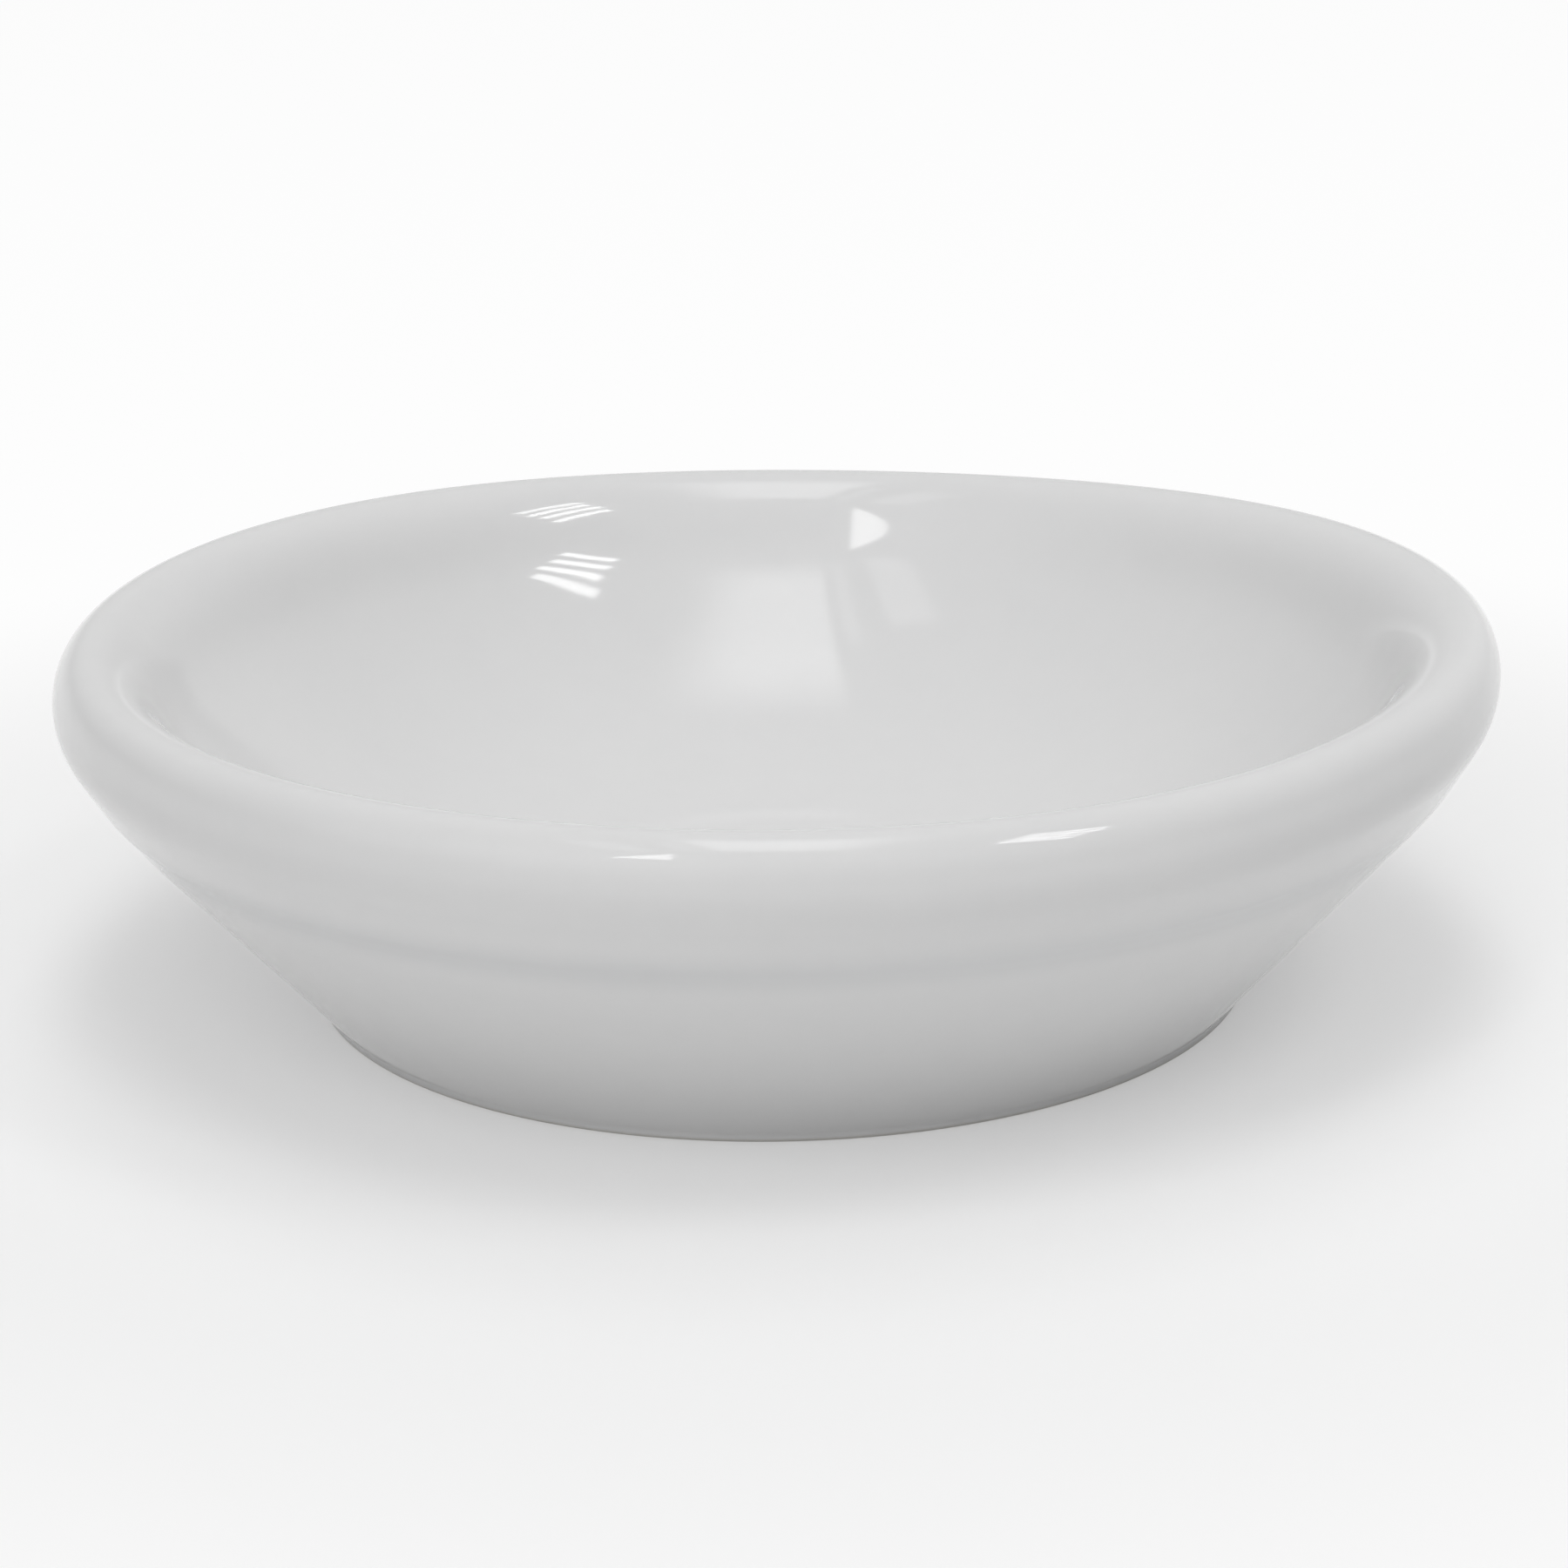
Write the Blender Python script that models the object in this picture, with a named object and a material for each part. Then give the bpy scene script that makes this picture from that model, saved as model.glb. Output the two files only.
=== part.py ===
# Butter pat dish of white glazed china, one turned and fired piece.
# Metres, +Z up; the foot stands on z = 0 and the axis of the dish is the Z axis.
import math

import bpy
from mathutils import Vector

mm = 0.001

# Rim and height
rim_radius = 41.25 * mm
dish_height = 21.4 * mm
rim_width = 3.75 * mm
rim_outer_round = 1.9 * mm
rim_inner_round = 3.4 * mm

# Outer band under the rim, which ends in a shallow step over the lower wall
band_bulge_height = 18.0 * mm
band_bulge_round = 6.0 * mm
band_foot_height = 14.24 * mm
band_step = 1.14 * mm
band_edge_round = 3.25 * mm

# Lower wall, from the crease under the band down to the foot
crease_radius = 38.6 * mm
crease_height = 13.35 * mm
crease_round = 5.6 * mm

# Foot ring and the recess inside it
foot_radius = 27.25 * mm
foot_height = 0.5 * mm
foot_ring_width = 3.6 * mm
foot_edge_round = 0.3 * mm
foot_neck_round = 0.5 * mm
recess_depth = 1.4 * mm
recess_slope_width = 1.0 * mm
recess_round = 1.5 * mm

# Well: the inner wall lies one wall thickness inside the lower wall, under a steeper lip
wall_thickness = 5.34 * mm
floor_thickness = 3.6 * mm
lip_depth = 5.17 * mm
lip_round = 10.5 * mm
well_round = 32.0 * mm

# Facets: how far a flat may lie off its arc, where two arcs meet in one point, and the turning's steps
arc_sag = 0.02 * mm
shortest_flat = 0.01 * mm
turn_steps = 96

glaze_colour = (0.80, 0.80, 0.80, 1.0)
glaze_roughness = 0.08


def clear_scene():
    for old in list(bpy.data.objects):
        bpy.data.objects.remove(old, do_unlink=True)


def point_on_line(start, end, height):
    share = (height - start.y) / (end.y - start.y)
    return start.lerp(end, share)


def outline_corners():
    """Corners of the half section as (radius, height), each with its rounding, from the well's
    centre up over the rim, down the outside and in under the foot to the axis."""
    foot_top = Vector((foot_radius, foot_height))
    crease = Vector((crease_radius, crease_height))
    wall_run = (crease - foot_top).normalized()
    inward = Vector((-wall_run.y, wall_run.x)) * wall_thickness
    well_floor = recess_depth + floor_thickness
    well_edge = point_on_line(foot_top + inward, crease + inward, well_floor)
    lip_foot = point_on_line(foot_top + inward, crease + inward, dish_height - lip_depth)
    foot_inner = foot_radius - foot_ring_width
    return [
        (Vector((0.0, well_floor)), 0.0),
        (well_edge, well_round),
        (lip_foot, lip_round),
        (Vector((rim_radius - rim_width, dish_height)), rim_inner_round),
        (Vector((rim_radius, dish_height)), rim_outer_round),
        (Vector((rim_radius, band_bulge_height)), band_bulge_round),
        (Vector((crease_radius + band_step, band_foot_height)), band_edge_round),
        (crease, crease_round),
        (foot_top, foot_neck_round),
        (Vector((foot_radius, 0.0)), foot_edge_round),
        (Vector((foot_inner, 0.0)), foot_edge_round),
        (Vector((foot_inner - recess_slope_width, recess_depth)), recess_round),
        (Vector((0.0, recess_depth)), 0.0),
    ]


def tangent_lengths(corners):
    """Length that each rounding takes from its two sides, drawn in where a side is too short."""
    points = [corner for corner, rounding in corners]
    lengths = []
    for i, (corner, rounding) in enumerate(corners):
        if rounding == 0.0:
            lengths.append(0.0)
            continue
        turn = (corner - points[i - 1]).angle(points[i + 1] - corner)
        lengths.append(rounding * math.tan(turn / 2))
    for i in range(len(corners) - 1):
        side = (points[i + 1] - points[i]).length
        excess = (lengths[i] + lengths[i + 1]) / side
        if excess > 1.0:
            lengths[i] /= excess
            lengths[i + 1] /= excess
    return lengths


def rounded_outline(corners):
    """The half section as points, with every rounded corner drawn as an arc."""
    lengths = tangent_lengths(corners)
    outline = []
    for i, (corner, rounding) in enumerate(corners):
        if lengths[i] == 0.0:
            outline.append(corner)
            continue
        back = (corners[i - 1][0] - corner).normalized()
        ahead = (corners[i + 1][0] - corner).normalized()
        turn = math.pi - back.angle(ahead)
        radius = lengths[i] / math.tan(turn / 2)
        middle = corner + (back + ahead).normalized() * (radius / math.cos(turn / 2))
        start = corner + back * lengths[i] - middle
        finish = corner + ahead * lengths[i] - middle
        flat_turn = 2 * math.acos(1 - min(arc_sag / radius, 0.5))
        flats = max(2, math.ceil(turn / flat_turn))
        for step in range(flats + 1):
            share = step / flats
            arm = start * math.sin((1 - share) * turn) + finish * math.sin(share * turn)
            point = middle + arm / math.sin(turn)
            if (point - outline[-1]).length > shortest_flat:
                outline.append(point)
    return outline


def glazed_china():
    material = bpy.data.materials.new("glazed_china")
    material.use_nodes = True
    shader = material.node_tree.nodes["Principled BSDF"]
    shader.inputs["Base Color"].default_value = glaze_colour
    shader.inputs["Roughness"].default_value = glaze_roughness
    shader.inputs["Metallic"].default_value = 0.0
    material.diffuse_color = glaze_colour
    return material


def turned_piece(name, outline, material):
    """Turn an outline about the Z axis into one closed body."""
    points = [(point.x, 0.0, point.y) for point in outline]
    edges = [(i, i + 1) for i in range(len(points) - 1)]
    mesh = bpy.data.meshes.new(name)
    mesh.from_pydata(points, edges, [])
    mesh.materials.append(material)
    piece = bpy.data.objects.new(name, mesh)
    bpy.context.collection.objects.link(piece)
    turning = piece.modifiers.new("turning", "SCREW")
    turning.axis = "Z"
    turning.angle = 2 * math.pi
    turning.steps = turn_steps
    turning.render_steps = turn_steps
    turning.use_merge_vertices = True
    turning.merge_threshold = 0.00001
    turning.use_smooth_shade = True
    return piece


def main():
    clear_scene()
    turned_piece("dish", rounded_outline(outline_corners()), glazed_china())


main()
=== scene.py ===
import math

import bpy
import numpy as np
from mathutils import Matrix, Vector


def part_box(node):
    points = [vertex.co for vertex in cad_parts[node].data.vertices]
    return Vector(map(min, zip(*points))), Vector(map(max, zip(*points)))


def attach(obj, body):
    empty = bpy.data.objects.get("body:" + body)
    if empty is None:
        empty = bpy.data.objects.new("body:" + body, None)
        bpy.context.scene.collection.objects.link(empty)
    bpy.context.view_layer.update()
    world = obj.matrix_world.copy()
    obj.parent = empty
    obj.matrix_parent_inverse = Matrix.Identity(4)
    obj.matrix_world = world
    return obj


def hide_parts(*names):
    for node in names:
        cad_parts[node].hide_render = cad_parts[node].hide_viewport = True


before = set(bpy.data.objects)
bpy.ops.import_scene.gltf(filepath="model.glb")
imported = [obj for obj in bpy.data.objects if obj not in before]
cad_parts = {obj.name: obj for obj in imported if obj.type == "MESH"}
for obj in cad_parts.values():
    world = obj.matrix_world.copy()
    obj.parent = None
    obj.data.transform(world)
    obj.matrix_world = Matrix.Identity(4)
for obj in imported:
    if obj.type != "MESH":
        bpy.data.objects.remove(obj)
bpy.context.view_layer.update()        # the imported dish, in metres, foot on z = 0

mm = 0.001
plainWhite = (1, 1, 1, 1)
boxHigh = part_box("dish")[1]
rimRadius = boxHigh.x
dishHeight = boxHigh.z
print("frame: dish", round(2 * rimRadius / mm, 2), "mm across,", round(dishHeight / mm, 2), "mm high")


# One shader socket. Sums on it add Math nodes, and node() adds any other node.
class Wire:
    def __init__(self, tree, socket=None):
        self.tree = tree
        self.socket = socket

    def node(self, kind, sockets=None, settings=None, out=0):
        made = self.tree.nodes.new(kind)
        for name, value in (settings or {}).items():
            setattr(made, name, value)
        for name, value in (sockets or {}).items():
            if isinstance(value, Wire):
                self.tree.links.new(value.socket, made.inputs[name])
            else:
                made.inputs[name].default_value = value
        return Wire(self.tree, made.outputs[out] if made.outputs else None)

    def maths(self, operation, first, second=0.0):
        return self.node("ShaderNodeMath", {0: first, 1: second}, {"operation": operation})

    # eases from 0 at low to 1 at high
    def ramp(self, low, high):
        sockets = {"Value": self, "From Min": low, "From Max": high}
        return self.node("ShaderNodeMapRange", sockets, {"interpolation_type": "SMOOTHSTEP"})

    # X, Y or Z of a place or direction
    def part(self, axis):
        return self.node("ShaderNodeSeparateXYZ", {"Vector": self}, out=axis)

    def __add__(self, other):
        return self.maths("ADD", self, other)

    def __mul__(self, other):
        return self.maths("MULTIPLY", self, other)

    def __rsub__(self, other):
        return self.maths("SUBTRACT", other, self)

    __radd__ = __add__


def newMaterial(name):
    material = bpy.data.materials.new(name)
    material.use_nodes = True
    material.node_tree.nodes.clear()
    return material, Wire(material.node_tree)


# Dish: one half section, turned about the Z axis and then warped a little, as by the kiln.
dish = {
    "crestRadius": 39.1 * mm,        # top of the rim
    "crestHeight": 21.38 * mm,
    "crestTurn": 0.25 * mm,          # way inwards within which the lip starts to fall
    "lipStart": 0.2 * mm,            # start of the lip's curve that the crest cuts off
    "lipSlope": 58.8,                # steepest place inside, in degrees
    "lipRun": 5.4 * mm,              # way along the lip's curve to there
    "wallTurn": 6.0,                 # degrees that the lip eases off into the wall
    "wallRun": 3.0 * mm,
    "bowlRadius": 31.8 * mm,
    "bowlEase": 0.6 * mm,
    "rollHeight": 18.65 * mm,        # widest place, where the rolled edge ends
    "bandBulgeHeight": 17.5 * mm,
    "bandBulgeRound": 4.0 * mm,
    "bandFootHeight": 14.24 * mm,
    "bandStep": 0.65 * mm,
    "bandEdgeRound": 3.5 * mm,
    "creaseRadius": 38.6 * mm,
    "creaseHeight": 13.35 * mm,
    "creaseRound": 6.0 * mm,
    "grooveDepth": 0.16 * mm,        # deeper crease at the left, which fades out to the right
    "grooveWidth": 0.8 * mm,
    "footRadius": 27.25 * mm,
    "footHeight": 0.5 * mm,
    "footRingWidth": 3.6 * mm,
    "footEdgeRound": 0.3 * mm,
    "footNeckRound": 0.5 * mm,
    "recessDepth": 1.4 * mm,
    "recessSlopeWidth": 1.0 * mm,
    "recessRound": 1.5 * mm,
    # warp of the rim: number of waves round it, with their cosine and sine parts from the back
    "warps": {2: (-0.43 * mm, -0.069 * mm), 3: (-0.213 * mm, -0.188 * mm)},
    "warpPowers": (1.5, 2),          # how the warp grows with the height and the radius
    "traceLength": 60 * mm,          # the well's curve is summed up over this way
    "traceSteps": 6000,
    "wellPoints": 96,
    "wellCrowding": 1.6,             # above 1, the well's points lie closer together near the rim
    "rollPoints": 20,
    "arcPoints": 10,
    "linePoints": 16,
    "samePoint": 0.002 * mm,         # points nearer together than this count once
    "turnSteps": 288,
}


# Inside: the slope rises from 0 at the crest, soon as a parabola, to the lip's steepest place, then
# falls by the ease into the wall and by the bowl's even turn, until the floor lies flat. Radius and
# height are running sums of its cosine and sine.
def wellOutline(values):
    run = np.linspace(0, values["traceLength"], values["traceSteps"])
    along = run + values["lipStart"]
    below = np.maximum(along - values["lipRun"], 0)
    rise = 1 - np.minimum(along / values["lipRun"], 1)
    share = np.minimum(below / values["wallRun"], 1)
    bowl = below - values["bowlEase"] * (1 - np.exp(-below / values["bowlEase"]))
    slope = np.radians(values["lipSlope"]) * (1 - rise ** 2) * (1 - np.exp(-run / values["crestTurn"]))
    slope -= np.radians(values["wallTurn"]) * share ** 2 * (3 - 2 * share) + bowl / values["bowlRadius"]
    slope = np.maximum(slope, 0)
    radius = values["crestRadius"] - np.cumsum(np.cos(slope)) * run[1]
    height = values["crestHeight"] - np.cumsum(np.sin(slope)) * run[1]
    wellEnd = np.interp(0, -radius, run)
    taken = np.linspace(0, 1, values["wellPoints"]) ** values["wellCrowding"] * wellEnd
    points = np.stack([np.interp(taken, run, radius), np.interp(taken, run, height)], axis=1)
    points[0] = values["crestRadius"], values["crestHeight"]
    points[-1, 0] = 0.0
    return points[::-1]


# Outside: the rolled edge is a quarter of an ellipse. Below it every corner gives one arc, its middle
# plus an arm that turns from the first side to the next. Straight runs fill the spaces between, closer
# together at their ends, and points that fall together count once.
def outsideOutline(values):
    bend = np.linspace(0, math.pi / 2, values["rollPoints"])[:, None]
    crest = np.array([values["crestRadius"], values["crestHeight"]])
    widest = np.array([rimRadius, values["rollHeight"]])
    roll = crest + (widest - crest) * np.concatenate([np.sin(bend), 1 - np.cos(bend)], axis=1)
    footInner = values["footRadius"] - values["footRingWidth"]
    corners = np.array([
        (rimRadius, values["rollHeight"], 0.0),
        (rimRadius, values["bandBulgeHeight"], values["bandBulgeRound"]),
        (values["creaseRadius"] + values["bandStep"], values["bandFootHeight"], values["bandEdgeRound"]),
        (values["creaseRadius"], values["creaseHeight"], values["creaseRound"]),
        (values["footRadius"], values["footHeight"], values["footNeckRound"]),
        (values["footRadius"], 0.0, values["footEdgeRound"]),
        (footInner, 0.0, values["footEdgeRound"]),
        (footInner - values["recessSlopeWidth"], values["recessDepth"], values["recessRound"]),
        (0.0, values["recessDepth"], 0.0),
    ])
    places, rounding = corners[:, :2], corners[:, 2]
    sides = np.diff(places, axis=0)
    lengths = np.linalg.norm(sides, axis=1)
    sides /= lengths[:, None]
    turn = np.arccos(np.sum(sides[:-1] * sides[1:], axis=1))
    reach = np.zeros(len(corners))
    reach[1:-1] = rounding[1:-1] * np.tan(turn / 2)
    for i, length in enumerate(lengths):        # a side too short for its two arcs draws both in
        reach[i:i + 2] /= max(1.0, (reach[i] + reach[i + 1]) / length)
    start = places[1:-1] - sides[:-1] * reach[1:-1, None]
    finish = places[1:-1] + sides[1:] * reach[1:-1, None]
    inward = sides[1:] - sides[:-1]
    inward /= np.linalg.norm(inward, axis=1)[:, None]
    middle = places[1:-1] + inward * (reach[1:-1] / np.sin(turn / 2))[:, None]
    share = np.linspace(0, 1, values["arcPoints"])[None, :, None]
    bend = turn[:, None, None]
    arm = (start - middle)[:, None] * np.sin((1 - share) * bend)
    arm = arm + (finish - middle)[:, None] * np.sin(share * bend)
    arcs = middle[:, None] + arm / np.sin(bend)
    share = 0.5 - 0.5 * np.cos(np.linspace(0, math.pi, values["linePoints"]))[None, 1:-1, None]
    lineStart = np.concatenate([places[:1], finish])[:, None]
    lineEnd = np.concatenate([start, places[-1:]])[:, None]
    lines = lineStart + (lineEnd - lineStart) * share
    rows = np.concatenate([lines[:-1], arcs], axis=1).reshape(-1, 2)
    points = np.concatenate([roll, rows, lines[-1], places[-1:]])
    apart = np.linalg.norm(np.diff(points, axis=0), axis=1) > values["samePoint"]
    return points[np.concatenate([[True], apart])]


# Surface: x = r sin a, y = r cos a, z = h + w(a) g, where a is the angle from the back, w adds up the
# waves round the rim, and g grows from nothing at the foot and the axis to 1 at the rim. Along the
# crease r loses a bell curve of the height, deepest where sin a = -1. A fan closes each end of the
# section on the axis.
def makeDish(values):
    well = wellOutline(values)
    outline = np.concatenate([well, outsideOutline(values)[1:]])
    radius, height = outline[1:-1, 0], outline[1:-1, 1]
    outside = np.arange(len(radius)) >= len(well)
    angle = np.linspace(0, 2 * math.pi, values["turnSteps"], endpoint=False)[:, None]
    groove = np.exp(-((height - values["creaseHeight"]) / values["grooveWidth"]) ** 2) * outside
    radius = radius - values["grooveDepth"] * groove * (0.5 - 0.5 * np.sin(angle))
    wave = sum(cosine * np.cos(waves * angle) + sine * np.sin(waves * angle)
               for waves, (cosine, sine) in values["warps"].items())
    heightPower, radiusPower = values["warpPowers"]
    grow = (height / dishHeight) ** heightPower * (radius / rimRadius) ** radiusPower
    grid = np.stack([radius * np.sin(angle), radius * np.cos(angle), height + wave * grow], axis=-1)
    steps, count = grid.shape[:2]
    ends = [[0, 0, outline[0, 1]], [0, 0, outline[-1, 1]]]
    points = np.concatenate([grid.reshape(-1, 3), ends])
    here = np.arange(steps)[:, None] * count        # first point of each section, and of the next one
    ahead = (np.arange(steps)[:, None] + 1) % steps * count
    k = np.arange(count - 1)
    quads = np.stack([here + k, ahead + k, ahead + k + 1, here + k + 1], axis=-1).reshape(-1, 4)
    here, ahead = here[:, 0], ahead[:, 0]
    wellMiddle = np.full(steps, steps * count)
    wellFan = np.stack([ahead, here, wellMiddle], axis=-1)
    baseFan = np.stack([here + count - 1, ahead + count - 1, wellMiddle + 1], axis=-1)
    mesh = bpy.data.meshes.new("glazed_dish")
    mesh.from_pydata(points.tolist(), [], quads.tolist() + wellFan.tolist() + baseFan.tolist())
    mesh.update()
    mesh.shade_smooth()
    piece = bpy.data.objects.new("glazed_dish", mesh)
    bpy.context.collection.objects.link(piece)
    return piece


# Glaze: white all over, with painted shade darkening the crease, bare under the foot.
glaze = {
    "white": (0.785, 0.785, 0.785, 1.0),
    "dimWhite": (0.765, 0.766, 0.768, 1.0),          # the slow drift and the fine mottling go to here
    # painted shade: the greyer white that darkens the crease
    "creaseShadeWhite": (0.70, 0.705, 0.71, 1.0),
    "bareClay": (0.70, 0.685, 0.655, 1.0),
    "speckGrey": (0.50, 0.49, 0.47, 1.0),
    # each noise: waves in a metre, and octaves of finer detail
    "driftNoise": (30.0, 2.0),
    "driftLimits": (0.3, 0.7),
    "mottleNoise": (420.0, 3.0),
    "mottleLimits": (0.35, 0.75),
    "mottleShare": 0.3,
    "creaseShadeHeight": 13.62 * mm,          # the crease, middle of the painted shade
    "creaseShadeAbove": 1.9 * mm,
    "creaseShadeBelow": 1.8 * mm,
    "creaseShadeInside": 36.2 * mm,           # nearer the axis than this is the well
    "creaseShadeFront": 0.85,                 # share of painted shade at the front, more at the left and less at the right
    "creaseShadeSide": 0.15,
    "bareHeight": 0.12 * mm,
    "bareFade": 0.2 * mm,
    "bareInside": 23.4 * mm,           # nearer the axis than this is the glazed recess
    "insideFade": 1.0 * mm,
    "axisRadius": 1.0 * mm,            # the radius isn't taken below this where it divides
    "speckScale": 130.0,
    "speckSize": 0.011,                # of a cell
    "speckEdge": 0.022,                # where a speck has faded out
    "speckShare": 0.93,                # share of the cells that have none
    "roughness": 0.045,
    "roughnessDrift": 0.02,
    "bareRoughness": 0.7,
    "peelNoise": (210.0, 2.0),
    "peelHeight": 0.005 * mm,
}


def glazedChina(values):
    material, wire = newMaterial("white_glaze")
    place = wire.node("ShaderNodeTexCoord", out="Object")
    across, along, height = [place.part(axis) for axis in "XYZ"]
    radius = wire.maths("SQRT", across * across + along * along)

    def noise(name):
        scale, detail = values[name]
        sockets = {"Vector": place, "Scale": scale, "Detail": detail}
        return wire.node("ShaderNodeTexNoise", sockets, out="Fac")

    # the Mix node's colours are its inputs 6 and 7 and its output 2
    def blend(share, first, second):
        return wire.node("ShaderNodeMix", {0: share, 6: first, 7: second}, {"data_type": "RGBA"}, out=2)

    def beyond(inside):
        return radius.ramp(inside, inside + values["insideFade"])

    drift = noise("driftNoise").ramp(*values["driftLimits"])
    mottle = noise("mottleNoise").ramp(*values["mottleLimits"])
    dim = drift * (1 - values["mottleShare"]) + mottle * values["mottleShare"]

    # painted shade along the crease, over the outside alone
    crease = height.ramp(values["creaseShadeHeight"] - values["creaseShadeBelow"], values["creaseShadeHeight"])
    crease = crease * height.ramp(values["creaseShadeHeight"] + values["creaseShadeAbove"], values["creaseShadeHeight"])
    crease = crease * beyond(values["creaseShadeInside"])
    side = wire.maths("DIVIDE", across, wire.maths("MAXIMUM", radius, values["axisRadius"]))
    creaseShade = crease * (values["creaseShadeFront"] - side * values["creaseShadeSide"])

    # a few kiln specks: the middles of some cells
    cell = {"Vector": place, "Scale": values["speckScale"]}
    middle = wire.node("ShaderNodeTexVoronoi", cell, out="Distance")
    cellColour = wire.node("ShaderNodeTexVoronoi", cell, out="Color")
    chance = wire.node("ShaderNodeSeparateColor", {"Color": cellColour}, out="Red")
    speck = middle.ramp(values["speckEdge"], values["speckSize"])
    speck = speck * wire.maths("GREATER_THAN", chance, values["speckShare"])

    # the ring that stands on the table
    bare = height.ramp(values["bareHeight"] + values["bareFade"], values["bareHeight"])
    bare = bare * beyond(values["bareInside"])

    colour = blend(dim, values["white"], values["dimWhite"])
    # painted shade darkens the crease
    colour = blend(creaseShade, colour, values["creaseShadeWhite"])
    colour = blend(speck, colour, values["speckGrey"])
    colour = blend(bare, colour, values["bareClay"])
    rough = values["roughness"] + drift * values["roughnessDrift"] + bare * values["bareRoughness"]
    peel = wire.node("ShaderNodeBump", {
        "Strength": 1.0,
        "Distance": values["peelHeight"],
        "Height": noise("peelNoise"),
    })
    sockets = {"Base Color": colour, "Roughness": rough, "Normal": peel}
    shader = wire.node("ShaderNodeBsdfPrincipled", sockets)
    wire.node("ShaderNodeOutputMaterial", {"Surface": shader})
    return material


piece = makeDish(dish)
piece.data.materials.append(glazedChina(glaze))
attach(piece, "root")
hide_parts("dish")
print("dish:", len(piece.data.polygons), "faces")


# Studio: a pale floor, a dim room with bright walls, and lamps under the ceiling.
studio = {
    "floorSize": 6.0,
    "floorColour": (0.895, 0.895, 0.895, 1.0),
    "nearGlow": 0.36,                # share of plain white seen in the floor beside the dish
    "farGlow": 0.94,                 # and away from it, out of the shadow
    "glowFrom": 0.045,
    "glowTo": 0.11,
    # the room: an even level, and bright walls as azimuth from the camera, elevation, level and the
    # cosine at which each fades out
    "worldLevel": 0.02,
    "walls": {
        "back": (165, 0, 0.6, -0.2),
        "front_left": (315, 25, 0.51, 0.7),
        "front": (0, 30, 0.48, 0.5),
    },
    # seen, but lighting nothing: one more wall, and a horizon as pale as the floor, without which the rim
    # would reflect a dark line
    "reflectedWall": (140, 8, 0.27, 0.85),
    "horizonLevel": 0.85,
    "horizonTop": 0.35,              # sine of the elevation at which it has faded out
    # soft light that is left out of the reflections: azimuth, elevation, size, level
    "fills": {
        "overhead": (0, 90, 0.5, 0.88),
        "front": (0, 55, 0.5, 0.52),
        "high_front": (0, 70, 0.2, 4.3),
        "high_back": (180, 70, 0.2, 1.48),
    },
    "fillDistance": 0.6,
    "ceiling": 0.8,
}

# Panels in the ceiling, which the glaze reflects: place, size, turn about Z in degrees, level, and the
# share of the face over which the left edge, the right edge, the front end and the back end fade out
panels = {
    "wide_panel": ((0.045, 0.045), (0.27, 0.67), 0, 2.2, (0.06, 0.5, 0.18, 0.43)),
    "dim_strip": ((-0.114, -0.10), (0.026, 0.36), 0, 0.9, (0.1, 0.1, 0.1, 0.1)),
    "dim_panel": ((-0.224, -0.14), (0.1, 0.34), 0, 1.0, (0.2, 0.06, 0.12, 0.12)),
    "tube_1": ((0.461, -0.316), (0.200, 0.030), -15, 11.0, None),
    "tube_2": ((0.448, -0.243), (0.200, 0.030), -14, 11.0, None),
    "tube_3": ((0.444, -0.175), (0.200, 0.030), -12, 11.0, None),
    "tube_4": ((0.424, -0.110), (0.180, 0.034), -9.5, 8.5, None),
}
cornerPanel = {"place": (-0.264, -0.493), "size": (0.145, 0.266), "turn": -12, "level": 5.7}


# 1 where the camera, a reflection or a see-through piece looks, and 0 for the light on other surfaces
def seenDirectly(wire):
    rays = [wire.node("ShaderNodeLightPath", out=name)
            for name in ("Is Camera Ray", "Is Glossy Ray", "Is Transmission Ray")]
    return wire.maths("MINIMUM", rays[0] + rays[1] + rays[2], 1.0)


def makeFloor(values):
    half = values["floorSize"] / 2
    corners = [(-half, -half, 0), (half, -half, 0), (half, half, 0), (-half, half, 0)]
    mesh = bpy.data.meshes.new("floor")
    mesh.from_pydata(corners, [], [(0, 1, 2, 3)])
    floor = bpy.data.objects.new("floor", mesh)
    bpy.context.collection.objects.link(floor)
    material, wire = newMaterial("pale_floor")
    place = wire.node("ShaderNodeTexCoord", out="Object")
    away = wire.node("ShaderNodeVectorMath", {0: place}, {"operation": "LENGTH"}, out="Value")
    grow = away.ramp(values["glowFrom"], values["glowTo"]) * (values["farGlow"] - values["nearGlow"])
    share = seenDirectly(wire) * (values["nearGlow"] + grow)
    matt = wire.node("ShaderNodeBsdfDiffuse", {"Color": values["floorColour"]})
    glow = wire.node("ShaderNodeEmission", {"Color": plainWhite, "Strength": 1.0})
    both = wire.node("ShaderNodeMixShader", {"Fac": share, 1: matt, 2: glow})
    wire.node("ShaderNodeOutputMaterial", {"Surface": both})
    mesh.materials.append(material)


# Direction at an azimuth, which runs from the camera's side to the right, and an elevation
def towards(azimuth, elevation):
    turn, rise = math.radians(azimuth), math.radians(elevation)
    return Vector((math.sin(turn) * math.cos(rise), -math.cos(turn) * math.cos(rise), math.sin(rise)))


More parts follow.
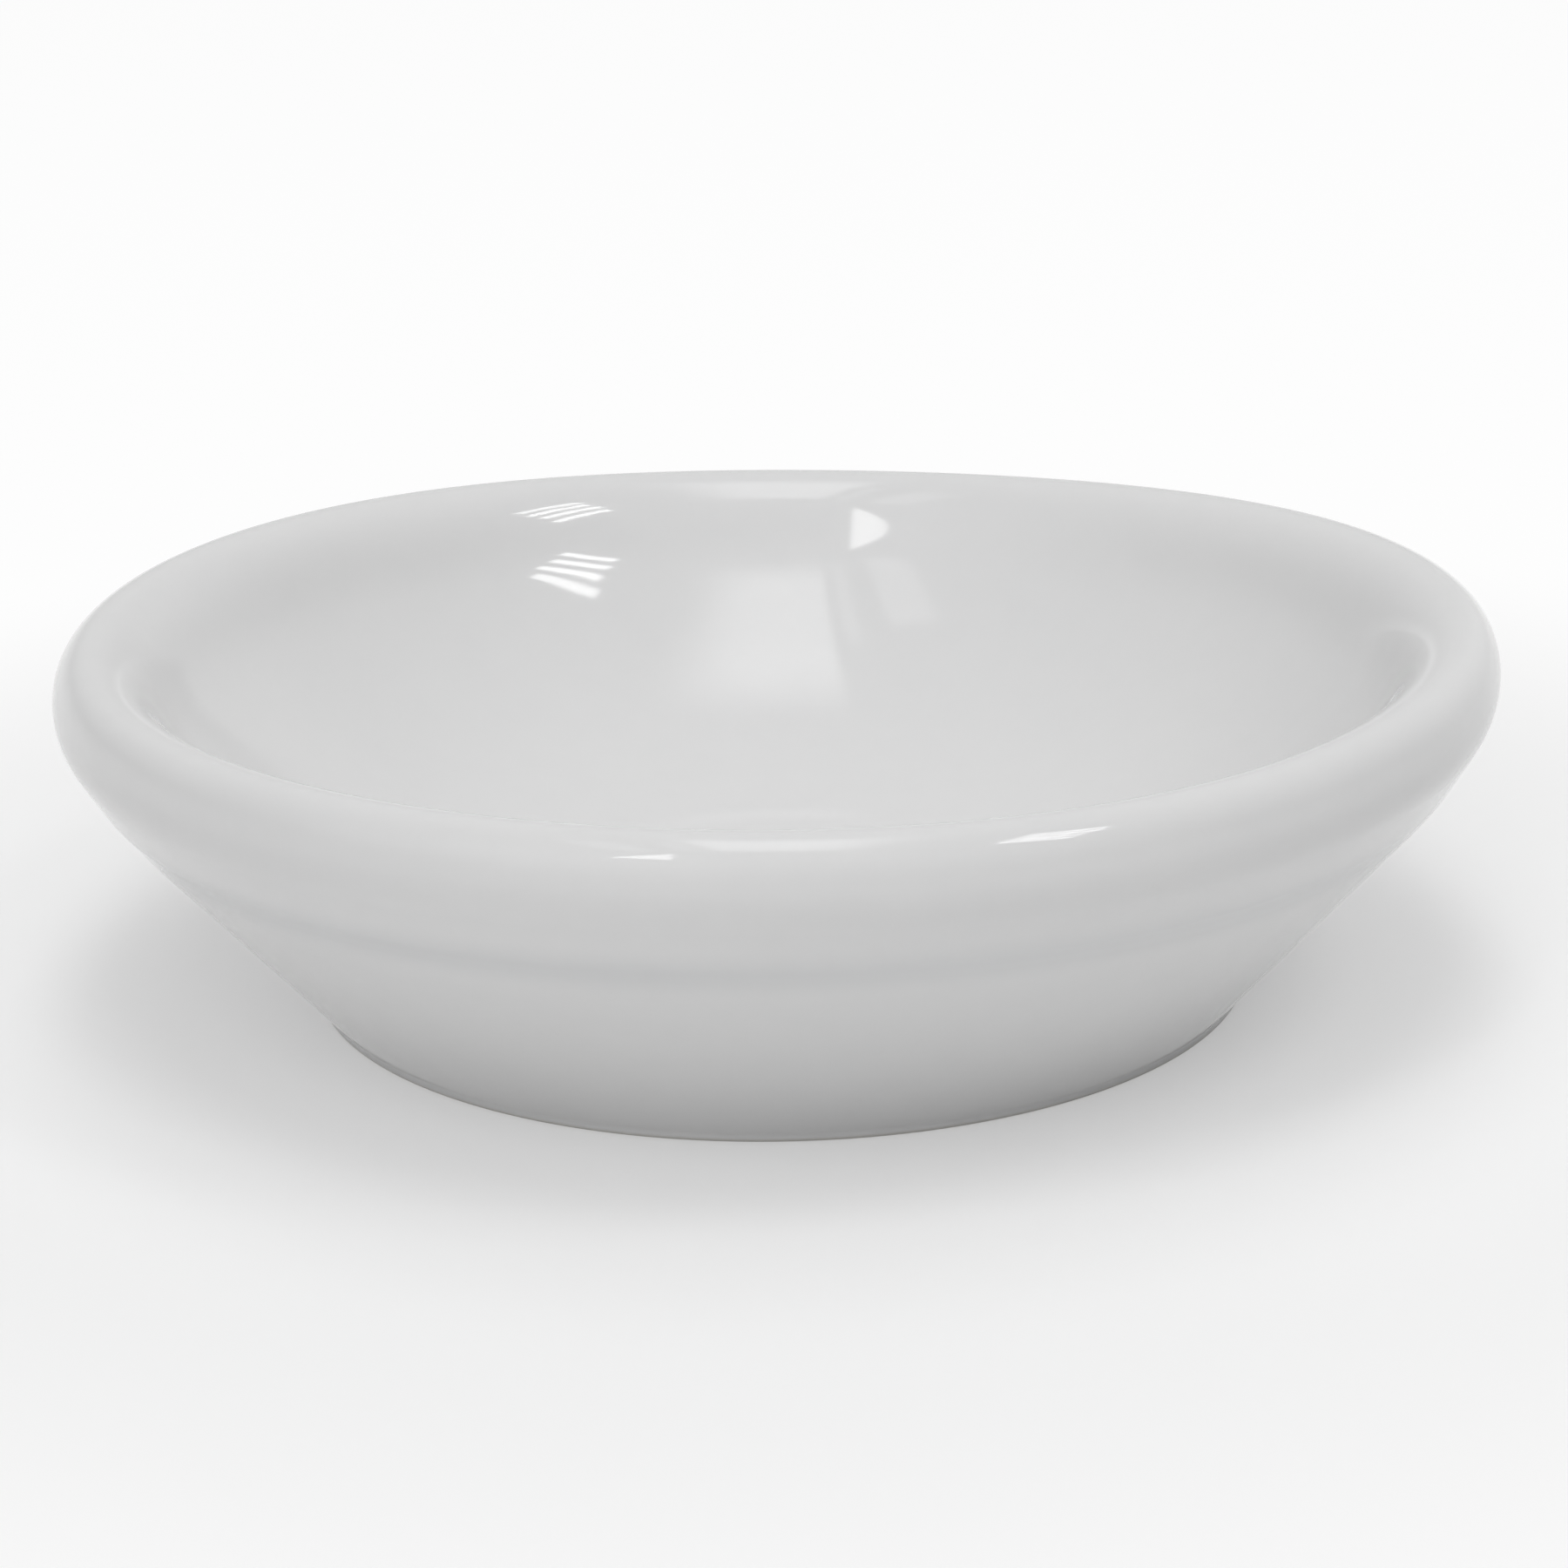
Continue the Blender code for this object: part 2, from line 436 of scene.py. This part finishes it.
def lightWorld(values):
    world = bpy.data.worlds.new("studio")
    bpy.context.scene.world = world
    world.use_nodes = True
    world.node_tree.nodes.clear()
    wire = Wire(world.node_tree)
    way = wire.node("ShaderNodeTexCoord", out="Generated")
    seen = seenDirectly(wire)

    def wall(azimuth, elevation, level, edge):
        sockets = {0: way, 1: towards(azimuth, elevation)}
        facing = wire.node("ShaderNodeVectorMath", sockets, {"operation": "DOT_PRODUCT"}, out="Value")
        return facing.ramp(edge, 1.0) * level

    strength = values["worldLevel"]
    for place in values["walls"].values():
        strength = strength + wall(*place)
    strength = strength + wall(*values["reflectedWall"]) * seen
    horizon = way.part("Z").ramp(values["horizonTop"], 0) * seen * values["horizonLevel"]
    strength = wire.maths("MAXIMUM", strength, horizon)
    sky = wire.node("ShaderNodeBackground", {"Color": plainWhite, "Strength": strength})
    wire.node("ShaderNodeOutputWorld", {"Surface": sky})


# A lamp whose face has the given brightness: power = brightness * pi * area
def makeLamp(name, shape, size, level):
    data = bpy.data.lights.new(name, "AREA")
    data.shape = shape
    data.size, data.size_y = size
    area = size[0] * size[1] * (math.pi / 4 if shape == "DISK" else 1)
    data.energy = level * math.pi * area
    lamp = bpy.data.objects.new(name, data)
    bpy.context.collection.objects.link(lamp)
    lamp.visible_camera = False
    return lamp


def hangPanel(name, ceiling, place, size, turn, level):
    lamp = makeLamp(name, "RECTANGLE", size, level)
    lamp.location = (*place, ceiling)
    lamp.rotation_euler.z = math.radians(turn)
    return lamp


# Shares of a lamp's width and length, from 0 to 1, for a pattern on its face
def lampFace(lamp):
    lamp.data.use_nodes = True
    lamp.data.node_tree.nodes.clear()
    wire = Wire(lamp.data.node_tree)
    place = wire.node("ShaderNodeNewGeometry", out="Parametric")
    return wire, place.part("X"), place.part("Y")


def lightFace(wire, strength):
    glow = wire.node("ShaderNodeEmission", {"Color": plainWhite, "Strength": strength})
    wire.node("ShaderNodeOutputLight", {"Surface": glow})


def makeLights(values):
    for name, (azimuth, elevation, size, level) in values["fills"].items():
        lamp = makeLamp(name + "_fill", "DISK", (size, size), level)
        away = towards(azimuth, elevation)
        turned = away.to_track_quat("Z", "Y").to_matrix().to_4x4()
        lamp.matrix_world = Matrix.Translation(away * values["fillDistance"]) @ turned
        lamp.visible_glossy = False
    for name, (place, size, turn, level, soft) in panels.items():
        lamp = hangPanel(name, values["ceiling"], place, size, turn, level)
        if soft:
            wire, across, along = lampFace(lamp)
            left, right, front, back = soft
            sides = across.ramp(0, left) * across.ramp(1, 1 - right)
            lightFace(wire, sides * along.ramp(0, front) * along.ramp(1, 1 - back))
    wire, across, along = lampFace(hangPanel("corner_panel", values["ceiling"], **cornerPanel))
    lightFace(wire, wire.maths("LESS_THAN", along, across))        # one half, cut from corner to corner


makeFloor(studio)
lightWorld(studio)
makeLights(studio)
print("studio: floor, world and", len(bpy.data.lights), "lamps")


# Camera: stands at the photo's angle and distance, turned a little about its own axis.
camera = {
    "elevation": 17.67,
    "radiusShare": 0.17844,          # the rim's radius, as a share of the distance
    "targetShare": 0.25,             # height of the point looked at, as a share of the rim's radius
    "sensorWidth": 36.0,
    "lens": 90.83,
    "clip": (0.01, 20.0),
    "roll": 1.063,
    "targetPixel": (893.9, 916.2),
    "framePixels": 1800,
    "bounces": 48,                   # light runs round inside the rim many times before it leaves
}


def makeCamera(values):
    data = bpy.data.cameras.new("camera")
    data.sensor_width = values["sensorWidth"]
    data.lens = values["lens"]
    data.clip_start, data.clip_end = values["clip"]
    viewer = bpy.data.objects.new("camera", data)
    bpy.context.collection.objects.link(viewer)
    tilt, roll = math.radians(values["elevation"]), math.radians(values["roll"])
    distance = rimRadius / values["radiusShare"]
    back = Vector((0, -math.cos(tilt), math.sin(tilt)))
    target = Vector((0, 0, rimRadius * values["targetShare"]))
    turned = (-back).to_track_quat("-Z", "Y").to_matrix() @ Matrix.Rotation(-roll, 3, "Z")
    pixel = distance * values["sensorWidth"] / values["lens"] / values["framePixels"]
    middle = values["framePixels"] / 2
    right, down = values["targetPixel"]
    stand = target + back * distance + turned @ Vector((middle - right, down - middle, 0)) * pixel
    viewer.matrix_world = Matrix.Translation(stand) @ turned.to_4x4()
    scene = bpy.context.scene
    scene.camera = viewer
    scene.view_settings.view_transform = "Standard"
    scene.cycles.max_bounces = values["bounces"]
    scene.cycles.glossy_bounces = values["bounces"]


makeCamera(camera)
print("camera set")
